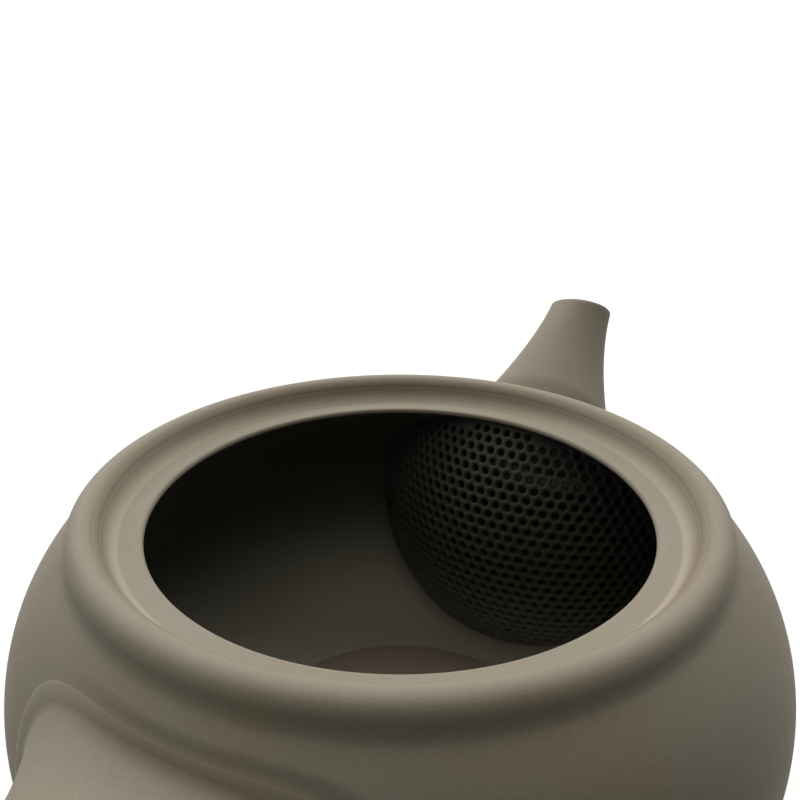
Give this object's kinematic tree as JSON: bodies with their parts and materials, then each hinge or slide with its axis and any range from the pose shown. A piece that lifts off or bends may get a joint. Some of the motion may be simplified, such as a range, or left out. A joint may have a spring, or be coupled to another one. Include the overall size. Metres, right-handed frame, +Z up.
{
  "type": "side-handled teapot",
  "caption": "Squat turned clay teapot with an open collared mouth and lid ledge, a flared spout, a hollow trumpet handle and a pierced dome strainer inside.",
  "frame": {"origin": "centre of the flat base, on the surface the pot stands on", "axes": "+Z up along the axis the body was turned about, +X towards the spout, so the handle lies along -X"},
  "size_m": [0.1932, 0.0986, 0.0643],
  "materials": {
    "unglazed_clay": "satin, fine grained, unglazed grey-brown clay",
    "strainer_clay": "satin, unglazed clay, darker inside the pot"
  },
  "bodies": {
    "root": {"body": "unglazed_clay", "spout": "unglazed_clay", "handle": "unglazed_clay", "strainer": "strainer_clay"}
  },
  "joints": []
}
